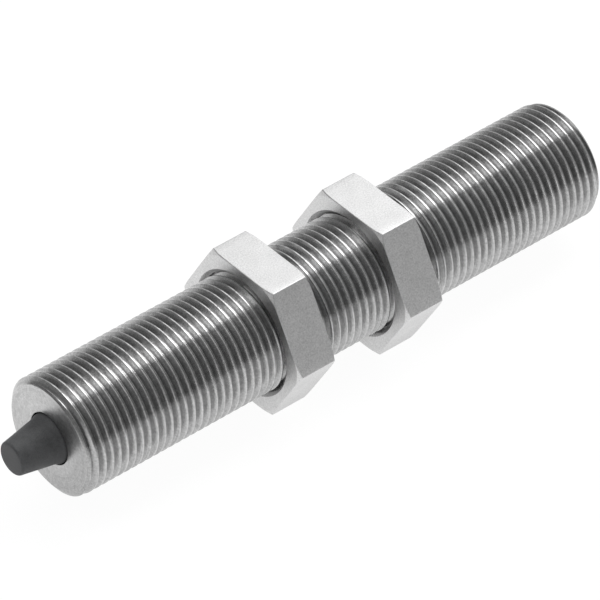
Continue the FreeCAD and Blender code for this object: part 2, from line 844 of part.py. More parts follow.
parts.append(lock_nut("front_lock_nut", "front_nut_place"))
parts.append(lock_nut("rear_lock_nut", "rear_nut_place"))

doc.recompute()
for item in doc.Objects:
    if {"Invalid", "Error"} & set(item.State):
        raise RuntimeError(f"{item.Name} failed: {item.State}")
for part in parts:
    shape = part.Shape
    if shape.isNull() or not shape.isValid() or len(shape.Solids) != 1:
        raise RuntimeError(f"{part.Label} is not one valid solid")

os.makedirs("parts", exist_ok=True)
for part in parts:
    part.Shape.exportStep(f"parts/{part.Label}.step")
    box = part.Shape.BoundBox
    print(f"{part.Label:18s} x {box.XMin:7.2f} to {box.XMax:6.2f}  volume {part.Shape.Volume:8.2f}")
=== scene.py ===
import math

import bmesh
import bpy
from mathutils import Matrix, Vector


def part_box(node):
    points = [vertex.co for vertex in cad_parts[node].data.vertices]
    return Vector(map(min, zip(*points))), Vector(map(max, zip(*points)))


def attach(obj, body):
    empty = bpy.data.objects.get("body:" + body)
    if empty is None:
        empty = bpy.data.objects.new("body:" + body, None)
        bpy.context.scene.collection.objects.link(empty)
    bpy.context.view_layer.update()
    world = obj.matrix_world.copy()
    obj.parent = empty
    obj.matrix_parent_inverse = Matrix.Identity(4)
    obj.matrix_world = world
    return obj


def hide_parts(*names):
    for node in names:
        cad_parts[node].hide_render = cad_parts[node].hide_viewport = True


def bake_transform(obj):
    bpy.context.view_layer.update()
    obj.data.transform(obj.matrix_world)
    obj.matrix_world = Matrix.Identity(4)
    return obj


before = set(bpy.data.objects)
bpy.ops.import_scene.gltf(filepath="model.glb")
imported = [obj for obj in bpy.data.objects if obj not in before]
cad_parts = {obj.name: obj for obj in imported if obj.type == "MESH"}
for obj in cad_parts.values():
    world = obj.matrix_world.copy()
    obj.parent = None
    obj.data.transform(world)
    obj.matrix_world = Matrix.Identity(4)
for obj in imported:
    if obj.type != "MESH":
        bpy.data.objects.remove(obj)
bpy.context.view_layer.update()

mm = 0.001


# Barrel.
# Stainless bar, turned, bored from the rear and threaded M14x1 from end to end. The face round
# the front bore is the fixed stop, left with the marks of the facing cut.

barrel_front, barrel_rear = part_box("barrel")
ring_low, ring_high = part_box("snap_ring")
barrel_length = barrel_rear.x - barrel_front.x
crest_radius = barrel_rear.z
pitch = 1.0 * mm
thread_depth = 0.6 * mm
thread_phase = 0.52 * mm
root_radius = crest_radius - thread_depth
front_lead_length = 0.38 * mm
front_lead_depth = 0.65 * mm
rear_lead_length = 0.55 * mm
rear_lead_depth = 0.6 * mm
stop_face_ring = 4.6 * mm
tip_bore_radius = 3.0 * mm
mouth_length = 0.16 * mm
mouth_width = 0.2 * mm
mouth_middle = (0.04 * mm, 0.07 * mm)
main_bore_radius = 5.5 * mm
main_bore_chamfer = 0.25 * mm
front_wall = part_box("rod_guide")[0].x
groove_clearance = 0.05 * mm
groove_front = ring_low.x - groove_clearance
groove_rear = ring_high.x + groove_clearance
groove_radius = ring_high.y + groove_clearance
steps_around = 96
spare_turns = 2
merge_distance = 0.0005 * mm
sliver_size = 0.0001 * mm

# One pitch of the thread as (share of the pitch, height from root to crest).
thread_section = [
    (0.000, 0.96),
    (0.015, 1.00),
    (0.145, 1.00),
    (0.165, 0.96),
    (0.340, 0.49),
    (0.510, 0.04),
    (0.540, 0.00),
    (0.630, 0.00),
    (0.660, 0.04),
    (0.825, 0.49),
]


def link(tree, source, target):
    """Joins an output to a node's input, or sets a plain number there."""
    if isinstance(source, (int, float)):
        target.default_value = source
    else:
        tree.links.new(source, target)


def calc(tree, operation, first, second=0.0, third=None):
    """The result of one Math node on sockets or numbers."""
    node = tree.nodes.new("ShaderNodeMath")
    node.operation = operation
    link(tree, first, node.inputs[0])
    link(tree, second, node.inputs[1])
    if third is not None:
        link(tree, third, node.inputs[2])
    return node.outputs[0]


def vector(tree, x, y, z=0.0):
    """Three sockets or numbers as one vector."""
    node = tree.nodes.new("ShaderNodeCombineXYZ")
    for value, target in zip((x, y, z), node.inputs):
        link(tree, value, target)
    return node.outputs[0]


def picked(tree, index, values):
    """One of several numbers, chosen by a whole number."""
    node = tree.nodes.new("GeometryNodeIndexSwitch")
    node.data_type = "FLOAT"
    while len(node.index_switch_items) < len(values):
        node.index_switch_items.new()
    for place, value in enumerate(values):
        node.inputs[place + 1].default_value = value
    link(tree, index, node.inputs[0])
    return node.outputs[0]


def new_tree(name, lengths, counts):
    """A Geometry Nodes tree, its named inputs, and the sockets that bring them into the tree."""
    tree = bpy.data.node_groups.new(name, "GeometryNodeTree")
    tree.interface.new_socket("Geometry", in_out="OUTPUT", socket_type="NodeSocketGeometry")
    kinds = {label: "NodeSocketFloat" for label in lengths}
    kinds.update({label: "NodeSocketInt" for label in counts})
    kinds["Material"] = "NodeSocketMaterial"
    inputs = {}
    for label, kind in kinds.items():
        inputs[label] = tree.interface.new_socket(label, in_out="INPUT", socket_type=kind)
    return tree, inputs, tree.nodes.new("NodeGroupInput").outputs


def set_round(tree, geometry, along, radius, angle):
    """A geometry with each point set by its place along X, its radius and its angle."""
    y = calc(tree, "MULTIPLY", radius, calc(tree, "COSINE", angle))
    z = calc(tree, "MULTIPLY", radius, calc(tree, "SINE", angle))
    node = tree.nodes.new("GeometryNodeSetPosition")
    link(tree, geometry, node.inputs["Geometry"])
    link(tree, vector(tree, along, y, z), node.inputs["Position"])
    return node.outputs[0]


def end_tree(tree, geometry, material):
    """Ends a tree: instances are made real, and the material is set."""
    real = tree.nodes.new("GeometryNodeRealizeInstances")
    link(tree, geometry, real.inputs[0])
    coloured = tree.nodes.new("GeometryNodeSetMaterial")
    link(tree, real.outputs[0], coloured.inputs["Geometry"])
    link(tree, material, coloured.inputs["Material"])
    result = tree.nodes.new("NodeGroupOutput")
    link(tree, coloured.outputs[0], result.inputs[0])


def thread_tree(section):
    """Geometry Nodes that lay a sheet of the thread's section along its helix, between two lead
    cones. Its long lines run with the thread, so that crests and roots stay sharp."""
    lengths = ("Pitch", "Start", "Front", "Rear", "Root", "Crest", "Front Radius", "Front Slope",
               "Rear Radius", "Rear Slope")
    tree, inputs, given = new_tree("helical_thread", lengths, ("Turns", "Steps Around"))
    points = len(section)

    rows = calc(tree, "MULTIPLY_ADD", given["Turns"], points, 1.0)
    columns = calc(tree, "ADD", given["Steps Around"], 1.0)
    grid = tree.nodes.new("GeometryNodeMeshGrid")
    link(tree, columns, grid.inputs["Vertices X"])
    link(tree, rows, grid.inputs["Vertices Y"])

    # The grid's points are counted column by column. Half a step keeps each division clear of
    # the whole number that it is rounded down to.
    index = tree.nodes.new("GeometryNodeInputIndex").outputs[0]
    column = calc(tree, "FLOOR", calc(tree, "DIVIDE", calc(tree, "ADD", index, 0.5), rows))
    row = calc(tree, "SUBTRACT", index, calc(tree, "MULTIPLY", column, rows))
    turn = calc(tree, "FLOOR", calc(tree, "DIVIDE", calc(tree, "ADD", row, 0.5), points))
    place = calc(tree, "SUBTRACT", row, calc(tree, "MULTIPLY", turn, points))
    share = picked(tree, place, [spot[0] for spot in section])
    height = picked(tree, place, [spot[1] for spot in section])

    circle = calc(tree, "DIVIDE", column, given["Steps Around"])
    angle = calc(tree, "MULTIPLY", circle, math.tau)
    turns = calc(tree, "ADD", calc(tree, "ADD", turn, share), circle)
    free = calc(tree, "MULTIPLY_ADD", turns, given["Pitch"], given["Start"])
    along = calc(tree, "MINIMUM", calc(tree, "MAXIMUM", free, given["Front"]), given["Rear"])
    depth = calc(tree, "SUBTRACT", given["Crest"], given["Root"])
    radius = calc(tree, "MULTIPLY_ADD", height, depth, given["Root"])
    behind = calc(tree, "SUBTRACT", along, given["Front"])
    ahead = calc(tree, "SUBTRACT", given["Rear"], along)
    front_cone = calc(tree, "MULTIPLY_ADD", behind, given["Front Slope"], given["Front Radius"])
    rear_cone = calc(tree, "MULTIPLY_ADD", ahead, given["Rear Slope"], given["Rear Radius"])
    radius = calc(tree, "MINIMUM", radius, calc(tree, "MINIMUM", front_cone, rear_cone))

    closed = tree.nodes.new("GeometryNodeMergeByDistance")
    link(tree, set_round(tree, grid.outputs["Mesh"], along, radius, angle), closed.inputs[0])
    closed.inputs["Distance"].default_value = merge_distance
    end_tree(tree, closed.outputs[0], given["Material"])
    return tree, inputs


def grown(name, tree, inputs, values):
    """The plain mesh that a node tree makes with these values for its inputs."""
    seed = bpy.data.objects.new(name + "_seed", bpy.data.meshes.new(name + "_seed"))
    bpy.context.scene.collection.objects.link(seed)
    modifier = seed.modifiers.new("made", "NODES")
    modifier.node_group = tree
    for label, value in values.items():
        modifier[inputs[label].identifier] = value
    depsgraph = bpy.context.evaluated_depsgraph_get()
    mesh = bpy.data.meshes.new_from_object(seed.evaluated_get(depsgraph), depsgraph=depsgraph)
    seed.modifiers.clear()
    bpy.data.objects.remove(seed)
    mesh.name = name
    return mesh


def spun(outline, closed=True):
    """Vertices and faces of an outline of (x, radius) points turned about X. Points that run
    anticlockwise, with x to the right and the radius up, give faces that point outwards."""
    places = []
    for step in range(steps_around):
        angle = math.tau * step / steps_around
        places += [Vector((x, r * math.cos(angle), r * math.sin(angle))) for x, r in outline]
    faces = []
    sides = len(outline) if closed else len(outline) - 1
    for step in range(steps_around):
        here = step * len(outline)
        there = (step + 1) % steps_around * len(outline)
        for side in range(sides):
            after = (side + 1) % len(outline)
            faces.append((here + side, here + after, there + after, there + side))
    return places, faces


def mesh_of(name, places, faces):
    """A new mesh of these vertices and faces."""
    mesh = bpy.data.meshes.new(name)
    mesh.from_pydata(places, [], faces)
    return mesh


def joined(name, meshes, material, sharp_degrees):
    """One object from several meshes, with its doubles merged and its sharp edges marked."""
    work = bmesh.new()
    for mesh in meshes:
        work.from_mesh(mesh)
        bpy.data.meshes.remove(mesh)
    bmesh.ops.remove_doubles(work, verts=work.verts, dist=merge_distance)
    bmesh.ops.dissolve_degenerate(work, edges=work.edges, dist=sliver_size)
    bmesh.ops.recalc_face_normals(work, faces=work.faces)
    for face in work.faces:
        face.smooth = True
        face.material_index = 0
    limit = math.radians(sharp_degrees)
    for edge in work.edges:
        edge.smooth = edge.calc_face_angle(0) < limit
    mesh = bpy.data.meshes.new(name)
    work.to_mesh(mesh)
    work.free()
    mesh.materials.append(material)
    piece = bpy.data.objects.new(name, mesh)
    bpy.context.scene.collection.objects.link(piece)
    return piece


def shader(name, **values):
    """A material with one Principled shader, and that shader."""
    material = bpy.data.materials.new(name)
    material.use_nodes = True
    surface = material.node_tree.nodes["Principled BSDF"]
    for label, value in values.items():
        surface.inputs[label.replace("_", " ")].default_value = value
    return material, surface


def noise(tree, place, scale, detail=2.0, roughness=0.5):
    """A Noise Texture's value, near 0.5."""
    node = tree.nodes.new("ShaderNodeTexNoise")
    link(tree, place, node.inputs["Vector"])
    node.inputs["Scale"].default_value = scale
    node.inputs["Detail"].default_value = detail
    node.inputs["Roughness"].default_value = roughness
    return node.outputs["Fac"]


def ramp(tree, value, low, high, from_low=0.3, from_high=0.7):
    """A value mapped from one range to another and kept there."""
    node = tree.nodes.new("ShaderNodeMapRange")
    link(tree, value, node.inputs["Value"])
    node.inputs["From Min"].default_value = from_low
    node.inputs["From Max"].default_value = from_high
    node.inputs["To Min"].default_value = low
    node.inputs["To Max"].default_value = high
    return node.outputs["Result"]


def grey(tree, value, tint=(1.0, 1.0, 1.0)):
    """A value as a colour."""
    node = tree.nodes.new("ShaderNodeCombineColor")
    for channel in range(3):
        link(tree, calc(tree, "MULTIPLY", value, tint[channel]), node.inputs[channel])
    return node.outputs[0]


def bumped(tree, height, surface, strength, distance):
    """A bump of that height under a shader."""
    node = tree.nodes.new("ShaderNodeBump")
    link(tree, height, node.inputs["Height"])
    node.inputs["Strength"].default_value = strength
    node.inputs["Distance"].default_value = distance
    link(tree, node.outputs[0], surface.inputs["Normal"])


def object_place(tree):
    """Object coordinates."""
    return tree.nodes.new("ShaderNodeTexCoord").outputs["Object"]


def off_axis(tree, place):
    """How far a place lies along the X axis, and how far out from it."""
    parts = tree.nodes.new("ShaderNodeSeparateXYZ")
    link(tree, place, parts.inputs[0])
    reach = tree.nodes.new("ShaderNodeVectorMath")
    reach.operation = "LENGTH"
    link(tree, vector(tree, parts.outputs[1], parts.outputs[2]), reach.inputs[0])
    return parts.outputs[0], reach.outputs["Value"]


def turned_steel(name, colour, roughness, cuts, depth):
    """Turned metal, with the grooves that the tool leaves round the X axis: so many to the
    millimetre across the cut, and long along it."""
    material, surface = shader(name, Metallic=1.0, Anisotropic=0.7, Anisotropic_Rotation=0.25)
    tree = material.node_tree
    place = object_place(tree)
    along, radius = off_axis(tree, place)
    slow = noise(tree, place, 1.5 / mm, detail=1.0)
    cuts_along = 0.1 * cuts
    waviness = 1.2
    rings = vector(
        tree,
        calc(tree, "MULTIPLY", radius, cuts / mm),
        calc(tree, "MULTIPLY", along, cuts_along / mm),
        calc(tree, "MULTIPLY", slow, waviness),
    )
    marks = noise(tree, rings, 1.0, detail=3.0, roughness=0.65)
    grain = tree.nodes.new("ShaderNodeTangent")
    grain.direction_type = "RADIAL"
    grain.axis = "X"
    link(tree, grain.outputs[0], surface.inputs["Tangent"])
    tone = calc(tree, "ADD", ramp(tree, marks, 0.82, 1.08), ramp(tree, slow, -0.06, 0.06))
    link(tree, grey(tree, tone, colour), surface.inputs["Base Color"])
    polish = ramp(tree, marks, roughness * 0.85, roughness * 1.2)
    link(tree, polish, surface.inputs["Roughness"])
    bumped(tree, marks, surface, strength=0.5, distance=depth)
    return material


def threaded_steel():
    """The barrel's steel. Painted shade darkens its flanks towards the root, its crests keep full
    tone, its stop face is out of the painted shade and less smooth, and a fine speckle covers it
    all."""
    material = turned_steel(
        "turned_stainless", (0.54, 0.54, 0.54), roughness=0.17, cuts=9.0, depth=0.008 * mm
    )
    tree = material.node_tree
    surface = tree.nodes["Principled BSDF"]
    colour, polish, bump = (
        surface.inputs[label].links[0].from_socket
        for label in ("Base Color", "Roughness", "Normal")
    )
    height = bump.node.inputs["Height"]
    marks = height.links[0].from_socket

    # Painted shade in the thread's hollows: the tone falls from the crest down the flanks to the
    # root.
    root_shade_tone, flank_shade_tone = 0.74, 0.88
    root_end, flank_end = root_radius + 0.05 * mm, crest_radius - 0.16 * mm
    crest_shade_lift = 0.12
    crest_start, crest_end = crest_radius - 0.10 * mm, crest_radius - 0.06 * mm
    face_end = barrel_front.x + 0.02 * mm
    face_roughness = 0.13
    dark_speck, light_speck = 0.74, 1.22
    speckle_height = 2.4

    place = object_place(tree)
    along, radius = off_axis(tree, place)
    # Painted shade: darker towards the root, lifted back to full tone at the crest; the stop face
    # stays at full tone.
    root_painted_shade = ramp(tree, radius, root_shade_tone, flank_shade_tone, from_low=root_end, from_high=flank_end)
    crest_lift_from_shade = ramp(tree, radius, 0.0, crest_shade_lift, from_low=crest_start, from_high=crest_end)
    faced = calc(tree, "LESS_THAN", along, face_end)
    speckle = noise(tree, place, 3.5 / mm, detail=4.0, roughness=0.8)
    shade = calc(tree, "MAXIMUM", calc(tree, "ADD", root_painted_shade, crest_lift_from_shade), faced)
    shade = calc(tree, "MULTIPLY", shade, ramp(tree, speckle, dark_speck, light_speck))
    tint = tree.nodes.new("ShaderNodeVectorMath")
    tint.operation = "SCALE"
    link(tree, colour, tint.inputs[0])
    link(tree, shade, tint.inputs["Scale"])
    link(tree, tint.outputs[0], surface.inputs["Base Color"])
    polish = calc(tree, "MULTIPLY_ADD", faced, face_roughness, polish)
    link(tree, polish, surface.inputs["Roughness"])
    link(tree, calc(tree, "MULTIPLY_ADD", speckle, speckle_height, marks), height)
    return material


barrel_steel = threaded_steel()
thread_nodes, thread_inputs = thread_tree(thread_section)
thread_values = {
    "Pitch": pitch,
    "Start": barrel_front.x - spare_turns * pitch + thread_phase,
    "Front": barrel_front.x,
    "Rear": barrel_rear.x,
    "Root": root_radius,
    "Crest": crest_radius,
    "Front Radius": crest_radius - front_lead_depth,
    "Front Slope": front_lead_depth / front_lead_length,
    "Rear Radius": crest_radius - rear_lead_depth,
    "Rear Slope": rear_lead_depth / rear_lead_length,
    "Turns": round(barrel_length / pitch) + spare_turns + 1,
    "Steps Around": steps_around,
    "Material": barrel_steel,
}
skin = grown("barrel_skin", thread_nodes, thread_inputs, thread_values)
barrel_inside = [
    (barrel_rear.x, crest_radius - rear_lead_depth),
    (barrel_rear.x, main_bore_radius + main_bore_chamfer),
    (barrel_rear.x - main_bore_chamfer, main_bore_radius),
    (groove_rear, main_bore_radius),
    (groove_rear, groove_radius),
    (groove_front, groove_radius),
    (groove_front, main_bore_radius),
    (front_wall, main_bore_radius),
    (front_wall, tip_bore_radius),
    (mouth_length, tip_bore_radius),
    (mouth_middle[0], tip_bore_radius + mouth_middle[1]),
    (barrel_front.x, tip_bore_radius + mouth_width),
    (barrel_front.x, stop_face_ring),
    (barrel_front.x, crest_radius - front_lead_depth),
]
bore = mesh_of("barrel_inside", *spun(barrel_inside, closed=False))
barrel = joined("threaded_barrel", [skin, bore], barrel_steel, sharp_degrees=24)
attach(barrel, "housing")
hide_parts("barrel")


# Striking tip.
# A cone moulded in hard black rubber, which snaps over the rod's head. Its end is flat with a
# soft rounded edge, and it flares into the base that slides in the barrel's bore.

tip_low, tip_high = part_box("striking_tip")
tip_radius = 1.97 * mm
tip_round = 0.32 * mm
tip_end_ring = 0.9 * mm
waist = (-0.9 * mm, 2.62 * mm)
tip_base_radius = tip_high.z
tip_base_chamfer = 0.15 * mm
flare_radius = 4.0 * mm
neck_radius = 1.05 * mm
neck_front = tip_high.x - 2.2 * mm
head_radius = 1.65 * mm
head_front = tip_high.x - 3.25 * mm
arc_steps = 6


def bend(start, finish, radius, steps):
    """Points of an arc after its start, from (x, radius) to (x, radius). A positive radius bows
    to the left of the way it runs."""
    a, b = Vector(start), Vector(finish)
    chord = b - a
    left = Vector((-chord.y, chord.x)).normalized()
    depth = math.sqrt(radius**2 - (chord.length / 2) ** 2)
    centre = (a + b) / 2 - left * math.copysign(depth, radius)
    first = math.atan2(a.y - centre.y, a.x - centre.x)
    last = math.atan2(b.y - centre.y, b.x - centre.x)
    if radius > 0 and last > first:
        last -= math.tau
    if radius < 0 and last < first:
        last += math.tau
    found = []
    for step in range(1, steps + 1):
        angle = first + (last - first) * step / steps
        out = Vector((math.cos(angle), math.sin(angle))) * abs(radius)
        found.append(tuple(centre + out))
    return found


rubber, surface = shader("black_rubber", Roughness=0.55, Specular_IOR_Level=0.45)
tree = rubber.node_tree
place = object_place(tree)
mould = noise(tree, place, 9.0 / mm, detail=4.0, roughness=0.7)
dust = noise(tree, place, 1.3 / mm, detail=3.0, roughness=0.6)
tone = calc(tree, "ADD", ramp(tree, mould, 0.72, 1.26), ramp(tree, dust, -0.16, 0.22))
link(tree, grey(tree, tone, (0.092, 0.094, 0.097)), surface.inputs["Base Color"])
link(tree, ramp(tree, dust, 0.48, 0.66), surface.inputs["Roughness"])
bumped(tree, mould, surface, strength=0.35, distance=0.02 * mm)

edge_start = (tip_low.x, tip_radius - tip_round)
edge_end = (tip_low.x + tip_round, tip_radius)
tip_outline = [(tip_low.x, 0.0), (tip_low.x, tip_end_ring), edge_start]
tip_outline += bend(edge_start, edge_end, tip_round, arc_steps)
tip_outline += [waist]
tip_outline += bend(waist, (barrel_front.x, tip_base_radius), -flare_radius, arc_steps)
tip_outline += [
    (tip_high.x - tip_base_chamfer, tip_base_radius),
    (tip_high.x, tip_base_radius - tip_base_chamfer),
    (tip_high.x, neck_radius),
    (neck_front, neck_radius),
    (neck_front, head_radius),
    (head_front, head_radius),
    (head_front, 0.0),
]
tip = joined("rubber_tip", [mesh_of("tip", *spun(tip_outline))], rubber, sharp_degrees=50)
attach(tip, "rod")
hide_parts("striking_tip")


# Lock nuts.
# Two low hexagon nuts in fine matt steel, 17 mm across flats. Their corners are chamfered on both
# faces, their edges are broken, and each tapped bore has a wide countersink and a short relief.

nut_flats = 17.0 * mm
nut_face_radius = 9.15 * mm
nut_chamfer_slope = 0.38
nut_mouth_radius = 7.5 * mm
nut_mouth_depth = 0.42 * mm
nut_relief_radius = crest_radius + 0.11 * mm
nut_relief_depth = 1.1 * mm
nut_ridge_radius = 6.46 * mm
thread_clearance = 0.05 * mm
edge_break = 0.07 * mm
corner_round = 0.15 * mm
corner_steps = 2
half_side = math.radians(30)

# The thread in the nuts has no lead cones: a radius of one metre cuts nothing off.
no_cone = {"Front Radius": 1.0, "Front Slope": 0.0, "Rear Radius": 1.0, "Rear Slope": 0.0}


def nut_steel():
    """Fine matt steel: an even grain, with a slow change of tone."""
    material, surface = shader("matt_nut_steel", Metallic=1.0)
    tree = material.node_tree
    place = object_place(tree)
    grain = noise(tree, place, 6.0 / mm, detail=3.0, roughness=0.75)
    cloud = noise(tree, place, 0.5 / mm)
    tone = calc(tree, "ADD", ramp(tree, grain, 0.74, 1.16), ramp(tree, cloud, -0.03, 0.03))
    link(tree, grey(tree, tone, (0.72, 0.72, 0.72)), surface.inputs["Base Color"])
    link(tree, ramp(tree, grain, 0.34, 0.46), surface.inputs["Roughness"])
    bumped(tree, grain, surface, strength=0.9, distance=0.012 * mm)
    return material


def nut_column(index):
    """Direction (y, z) and outside radius of a nut at one of its columns, which stand closer
    together round the corners. The flats face +Z and -Z."""
    apothem = nut_flats / 2
    centre = (apothem - corner_round) / math.cos(half_side)
    tangent = math.atan(math.tan(half_side) * (apothem - corner_round) / apothem)
    half_arc = half_side - tangent
    per_side = steps_around // 6
    corner, step = divmod(index % steps_around, per_side)
    steps_off = min(step, per_side - step)
    if steps_off <= corner_steps:
        offset = half_arc * steps_off / corner_steps
        radius = centre * math.cos(offset)
        radius += math.sqrt(corner_round**2 - (centre * math.sin(offset)) ** 2)
    else:
        flat_steps = per_side / 2 - corner_steps
        offset = half_arc + tangent * (steps_off - corner_steps) / flat_steps
        radius = apothem / math.cos(half_side - offset)
    if step > per_side / 2:
        corner, offset = corner + 1, -offset
    angle = 2 * half_side * corner + offset
    return Vector((math.cos(angle), math.sin(angle))), radius


def nut_outside(name, front, rear):
    """A nut's flats, end faces and countersinks, as far in as the reliefs of its thread."""
    places, faces = [], []
    for index in range(steps_around):
        way, outer = nut_column(index)
        inner = outer - edge_break
        drop = max(0.0, (inner - nut_face_radius) * nut_chamfer_slope)
        meridian = [
            (nut_relief_depth, nut_relief_radius),
            (nut_mouth_depth, nut_relief_radius),
            (0.0, nut_mouth_radius),
            (0.0, min(nut_face_radius, inner)),
            (drop, inner),
            (drop + edge_break, outer),
        ]
        for depth, radius in meridian:
            places.append(Vector((front + depth, way.x * radius, way.y * radius)))
        for depth, radius in reversed(meridian):
            places.append(Vector((rear - depth, way.x * radius, way.y * radius)))
        count = 2 * len(meridian)
        here = index * count
        there = (index + 1) % steps_around * count
        for spot in range(count - 1):
            faces.append((here + spot, there + spot, there + spot + 1, here + spot + 1))
    return mesh_of(name, places, faces)


matt_steel = nut_steel()
for node, body in (("front_lock_nut", "front_nut_body"), ("rear_lock_nut", "rear_nut_body")):
    low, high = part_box(node)
    outside = nut_outside(node + "_outside", low.x, high.x)
    bore_front = low.x + nut_relief_depth
    bore_rear = high.x - nut_relief_depth
    first_turn = math.floor((bore_front - barrel_front.x) / pitch) - spare_turns
    bore_values = thread_values | no_cone | {
        "Start": barrel_front.x + first_turn * pitch + thread_phase,
        "Front": bore_front,
        "Rear": bore_rear,
        "Root": root_radius + thread_clearance,
        "Crest": crest_radius + thread_clearance,
        "Turns": round((bore_rear - bore_front) / pitch) + 2 * spare_turns,
        "Material": matt_steel,
    }
    bore_skin = grown(node + "_bore", thread_nodes, thread_inputs, bore_values)
    # The thread's points move onto the nut's columns, its ridges are cut flat, and its first and
    # last rows open to the relief, where they meet the outside.
    for vertex in bore_skin.vertices:
        x, y, z = vertex.co
        way, _ = nut_column(round(math.atan2(z, y) / math.tau * steps_around))
        radius = max(math.hypot(y, z), nut_ridge_radius)
        if min(x - bore_front, bore_rear - x) < 2 * merge_distance:
            radius = nut_relief_radius
        vertex.co = (x, way.x * radius, way.y * radius)
    nut = joined(node + "_steel", [outside, bore_skin], matt_steel, sharp_degrees=17)
    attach(nut, body)
    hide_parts(node)


# Piston rod.
# Hard-chromed and ground steel. Its mushroom head sits in the rubber tip, and a spigot at the
# rear carries the piston and its nut. Grinding leaves very fine rings.

rod_low, rod_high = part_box("piston_rod")
rod_radius = rod_high.z
rod_chamfer = 0.15 * mm
rod_head_radius = 1.6 * mm
rod_head_rear = rod_low.x + 0.95 * mm
rod_neck_radius = 1.0 * mm
rod_neck_rear = tip_high.x
rod_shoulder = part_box("piston")[0].x
spigot_radius = 1.5 * mm


def turned_piece(name, outline, material, body, node, sharp_degrees=30):
    """A turned piece in place of its CAD node."""
    piece = joined(name, [mesh_of(name, *spun(outline))], material, sharp_degrees)
    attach(piece, body)
    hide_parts(node)


chrome = turned_steel(
    "ground_chrome", (0.78, 0.78, 0.80), roughness=0.12, cuts=30.0, depth=0.001 * mm
)
rod_outline = [
    (rod_low.x, 0.0),
    (rod_low.x, rod_head_radius - rod_chamfer),
    (rod_low.x + rod_chamfer, rod_head_radius),
    (rod_head_rear, rod_head_radius),
    (rod_head_rear, rod_neck_radius),
    (rod_neck_rear, rod_neck_radius),
    (rod_neck_rear, rod_radius - rod_chamfer),
    (rod_neck_rear + rod_chamfer, rod_radius),
    (rod_shoulder, rod_radius),
    (rod_shoulder, spigot_radius),
    (rod_high.x - rod_chamfer, spigot_radius),
    (rod_high.x, spigot_radius - rod_chamfer),
    (rod_high.x, 0.0),
]
turned_piece("chromed_rod", rod_outline, chrome, "rod", "piston_rod")


# Wiper, rod seal, back-up ring and O-rings.
# The wiper is blue polyurethane, moulded with a thin lip. Seal and O-rings are black rubber with
# an oily sheen, and the back-up ring behind the seal is cut from white PTFE.

seal_bore_radius = 2.02 * mm
seal_edge = 0.05 * mm
wiper_bore_radius = 2.12 * mm
lip_length = 0.5 * mm
lip_width = 0.5 * mm
seal_groove_depth = 1.1 * mm
seal_groove_half_width = 0.1 * mm
o_ring_bore_radius = 4.475 * mm
o_ring_points = 20
o_ring_squeeze = 0.75


def moulded(name, colour, roughness, speckle, metallic=0.0):
    """A moulded or drawn finish: an even colour with faint flow marks and a fine skin."""
    material, surface = shader(name, Metallic=metallic)
    tree = material.node_tree
    place = object_place(tree)
    skin = noise(tree, place, 8.0 / mm, detail=3.0, roughness=0.6)
    flow = noise(tree, place, 0.7 / mm)
    spots = ramp(tree, skin, 1 - speckle, 1 + speckle)
    tone = calc(tree, "ADD", spots, ramp(tree, flow, -0.08, 0.08))
    link(tree, grey(tree, tone, colour), surface.inputs["Base Color"])
    polish = ramp(tree, flow, roughness * 0.85, roughness * 1.15)
    link(tree, polish, surface.inputs["Roughness"])
    bumped(tree, skin, surface, strength=0.3, distance=0.01 * mm)
    return material


def turned_ring(name, bore_radius, chamfer, material, body, node):
    """A plain ring as large as its CAD node, with both outer edges chamfered."""
    low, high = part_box(node)
    outline = [
        (low.x, bore_radius),
        (low.x, high.z - chamfer),
        (low.x + chamfer, high.z),
        (high.x - chamfer, high.z),
        (high.x, high.z - chamfer),
        (high.x, bore_radius),
    ]
    turned_piece(name, outline, material, body, node)


blue_plastic = moulded("blue_wiper_plastic", (0.06, 0.20, 0.42), roughness=0.42, speckle=0.06)
seal_rubber = moulded("oiled_seal_rubber", (0.022, 0.022, 0.023), roughness=0.28, speckle=0.10)
white_plastic = moulded("white_backup_plastic", (0.80, 0.80, 0.77), roughness=0.45, speckle=0.03)

wiper_low, wiper_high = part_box("rod_wiper")
lip_rear = wiper_low.x + lip_length
wiper_outline = [
    (wiper_low.x, seal_bore_radius + lip_width),
    (wiper_low.x, seal_bore_radius),
    (lip_rear, wiper_bore_radius),
    (wiper_high.x, wiper_bore_radius),
    (wiper_high.x, wiper_high.z - seal_edge),
    (wiper_high.x - seal_edge, wiper_high.z),
    (lip_rear, wiper_high.z),
]
turned_piece("wiper", wiper_outline, blue_plastic, "housing", "rod_wiper")

seal_low, seal_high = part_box("rod_seal")
seal_groove_radius = (seal_bore_radius + seal_high.z) / 2
seal_outline = [
    (seal_low.x, seal_bore_radius),
    (seal_low.x, seal_groove_radius - seal_groove_half_width),
    (seal_low.x + seal_groove_depth, seal_groove_radius),
    (seal_low.x, seal_groove_radius + seal_groove_half_width),
    (seal_low.x, seal_high.z),
    (seal_high.x - seal_edge, seal_high.z),
    (seal_high.x, seal_high.z - seal_edge),
    (seal_high.x, seal_bore_radius + seal_edge),
    (seal_high.x - seal_edge, seal_bore_radius),
]
turned_piece("seal", seal_outline, seal_rubber, "housing", "rod_seal")
turned_ring(
    "backup", seal_bore_radius, seal_edge, white_plastic, "housing", "backup_ring"
)

